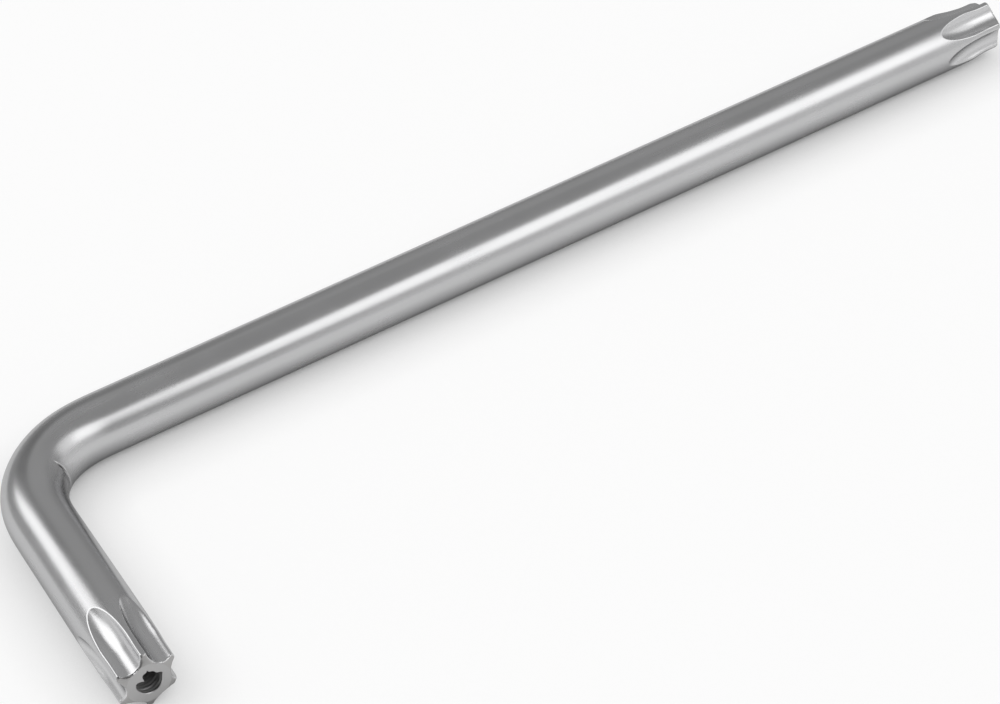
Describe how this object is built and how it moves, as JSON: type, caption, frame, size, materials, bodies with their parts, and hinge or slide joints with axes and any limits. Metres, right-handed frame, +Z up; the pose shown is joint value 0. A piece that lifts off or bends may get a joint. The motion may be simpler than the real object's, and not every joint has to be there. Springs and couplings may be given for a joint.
{
  "type": "star key",
  "caption": "L-shaped star key of round satin-chromed bar, bent square, with a fluted star tip and a drilled pin hole at each end, for tamper-resistant screws.",
  "frame": {"origin": "on the surface the key lies on, at the middle of the box around it", "axes": "+X along the long arm towards its tip, -Y along the short arm towards its tip, +Z up from the surface the key lies flat on"},
  "size_m": [0.17, 0.0506, 0.0088],
  "materials": {
    "satin_chrome": "satin chrome plate on alloy steel, finely grained, with brighter worn edges on the lobes"
  },
  "bodies": {
    "root": {"long_star_tip": "satin_chrome", "long_arm": "satin_chrome", "bend": "satin_chrome", "short_arm": "satin_chrome", "short_star_tip": "satin_chrome"}
  },
  "joints": []
}
